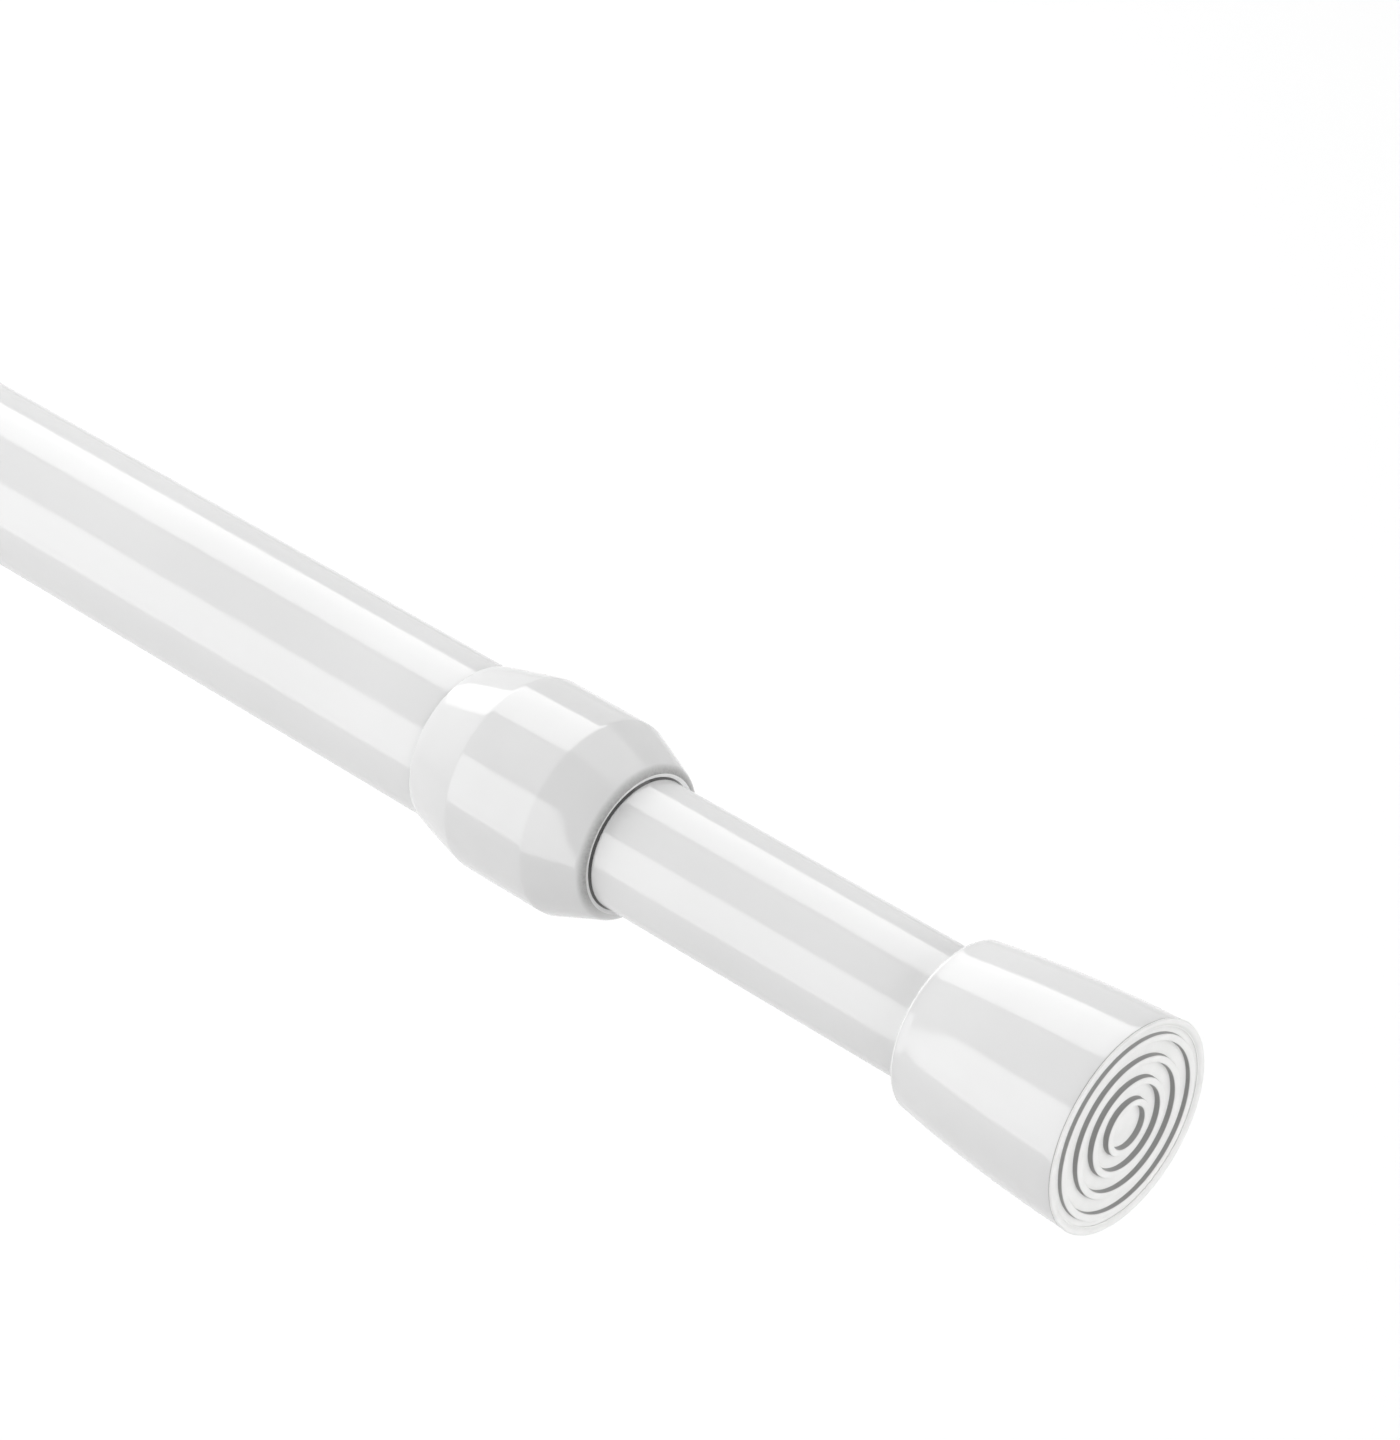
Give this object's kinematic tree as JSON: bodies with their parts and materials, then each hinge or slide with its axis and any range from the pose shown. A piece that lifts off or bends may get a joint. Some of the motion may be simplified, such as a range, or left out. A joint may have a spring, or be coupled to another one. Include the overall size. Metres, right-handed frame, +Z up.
{
  "type": "spring tension rod",
  "caption": "White telescoping tension rod for a small window: a wide tube with a flared collar, a thin sprung inner tube, and cup feet with ringed soft pads.",
  "frame": {"origin": "on the rod's axis in the plane of the far foot's gripping rings, where the rod presses on the first wall", "axes": "+X along the rod's axis, from the wide outer tube's foot to the thin inner tube's foot; +Z up; +Y sideways; the rod is horizontal"},
  "size_m": [0.4437, 0.0204, 0.0204],
  "materials": {
    "white_powder_coat": "smooth gloss powder coat on thin steel tube",
    "white_abs": "moulded ABS with a soft gloss",
    "white_soft_pvc": "moulded soft PVC, satin",
    "natural_nylon": "moulded nylon, satin",
    "grey_acetal": "moulded acetal, satin",
    "zinc_plated_steel": "turned steel with bright zinc plating",
    "spring_steel": "drawn spring wire, lightly oiled",
    "black_rubber": "moulded rubber, matte"
  },
  "bodies": {
    "outer": {"outer_tube": "white_powder_coat", "collar": "white_abs", "guide_sleeve": "natural_nylon", "outer_end_cup": "white_abs", "outer_end_pad": "white_soft_pvc"},
    "gripper": {"grip_collet": "natural_nylon", "drag_ring_rear": "black_rubber", "drag_ring_front": "black_rubber"},
    "spindle": {"spindle": "zinc_plated_steel", "end_nut": "zinc_plated_steel", "thrust_washer": "zinc_plated_steel", "tail_washer": "zinc_plated_steel", "tail_nut": "zinc_plated_steel", "compression_spring": "spring_steel"},
    "expander": {"expander_cone": "grey_acetal"},
    "inner": {"inner_tube": "white_powder_coat", "guide_bush": "natural_nylon", "spring_stop_plug": "natural_nylon", "inner_end_cup": "white_abs", "inner_end_pad": "white_soft_pvc"}
  },
  "joints": [
    {"name": "length_slide", "type": "slide", "parent": "outer", "child": "gripper", "axis": [1, 0, 0], "range_m": [-0.0223, 0.2831]},
    {"name": "lock_twist", "type": "hinge", "parent": "gripper", "child": "spindle", "pos_m": [0.06, 0, 0], "axis": [1, 0, 0], "range_deg": [0, 540]},
    {"name": "cone_draw", "type": "slide", "parent": "gripper", "child": "expander", "axis": [-1, 0, 0], "range_m": [0, 0.00305]},
    {"name": "spring_travel", "type": "slide", "parent": "spindle", "child": "inner", "axis": [1, 0, 0], "range_m": [-0.015, 0], "stiffness_N_per_m": 2000, "springref_m": 0.02, "deforming": ["compression_spring"]}
  ],
  "couplings": [
    {"joint": "cone_draw", "follows": "lock_twist", "m_per_rad": 0.00031831}
  ]
}
